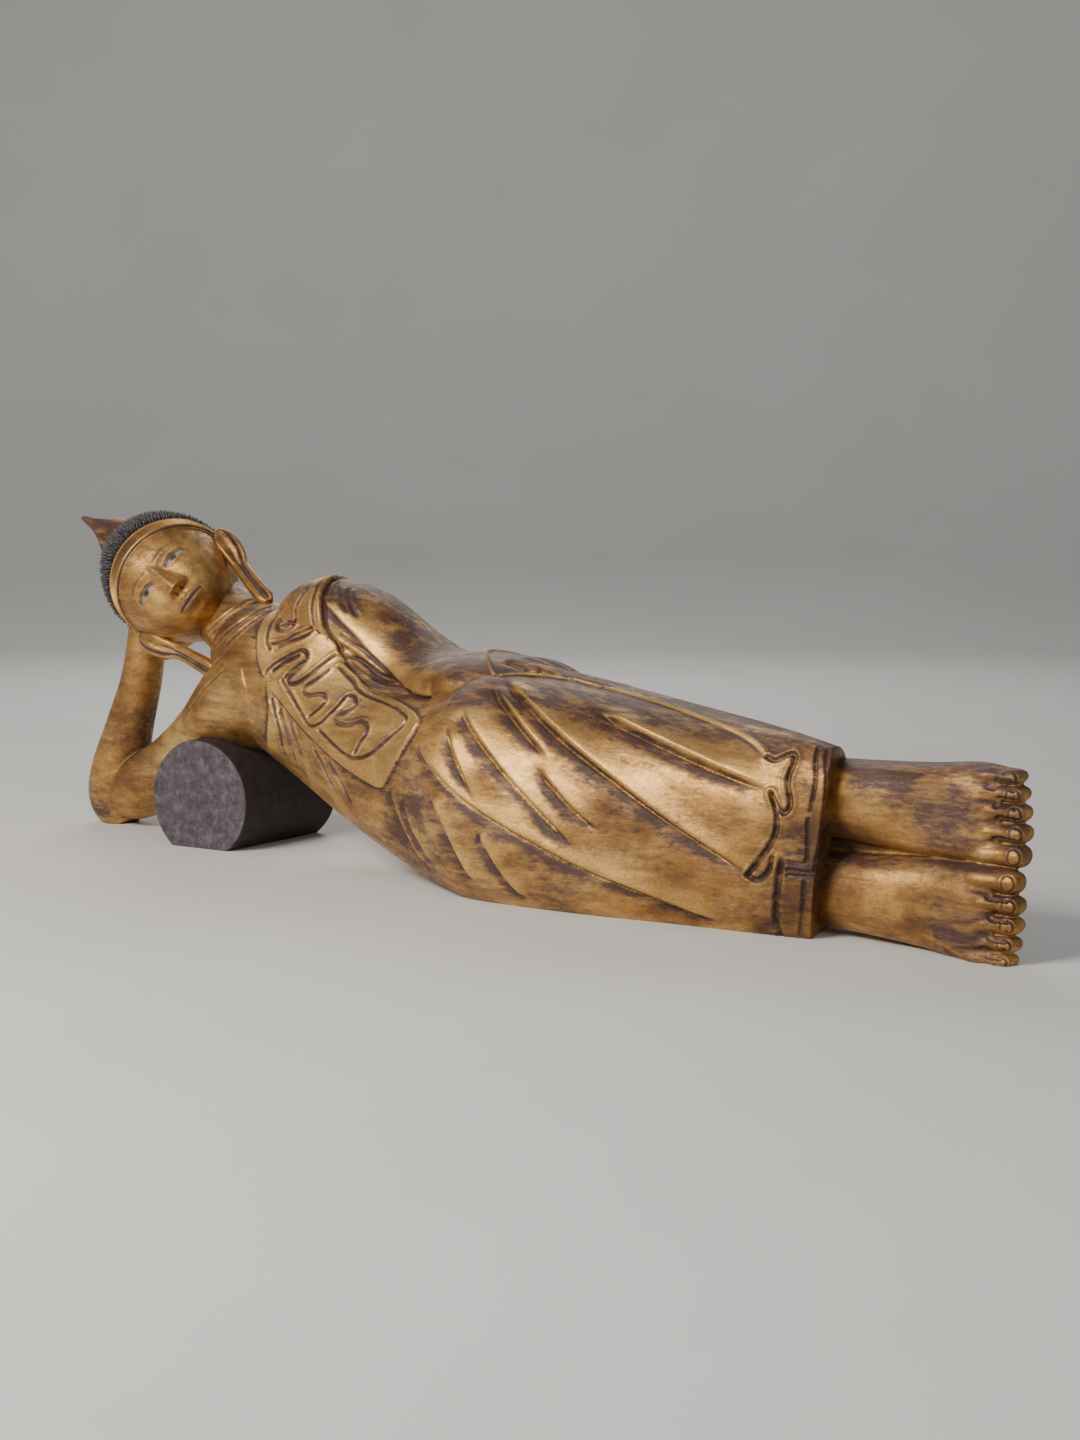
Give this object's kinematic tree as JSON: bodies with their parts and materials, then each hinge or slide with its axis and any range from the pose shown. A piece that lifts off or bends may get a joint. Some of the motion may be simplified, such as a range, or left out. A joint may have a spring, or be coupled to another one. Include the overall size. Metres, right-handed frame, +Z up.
{
  "type": "reclining buddha statue",
  "caption": "Carved and gilded wooden buddha lying on its right side, head propped on one hand, arm and chest over a short dark log.",
  "frame": {"origin": "middle of the underside of the figure and its log together, on the ground", "axes": "+X toward the feet, -Y the figure's front, +Z up"},
  "size_m": [1.1796, 0.231, 0.3471],
  "materials": {
    "gilded_carving": "worn gold leaf over dark lacquer",
    "dark_log": "matte dark lacquer"
  },
  "bodies": {
    "root": {"reclining_buddha_figure": "gilded_carving", "bolster": "dark_log"}
  },
  "joints": []
}
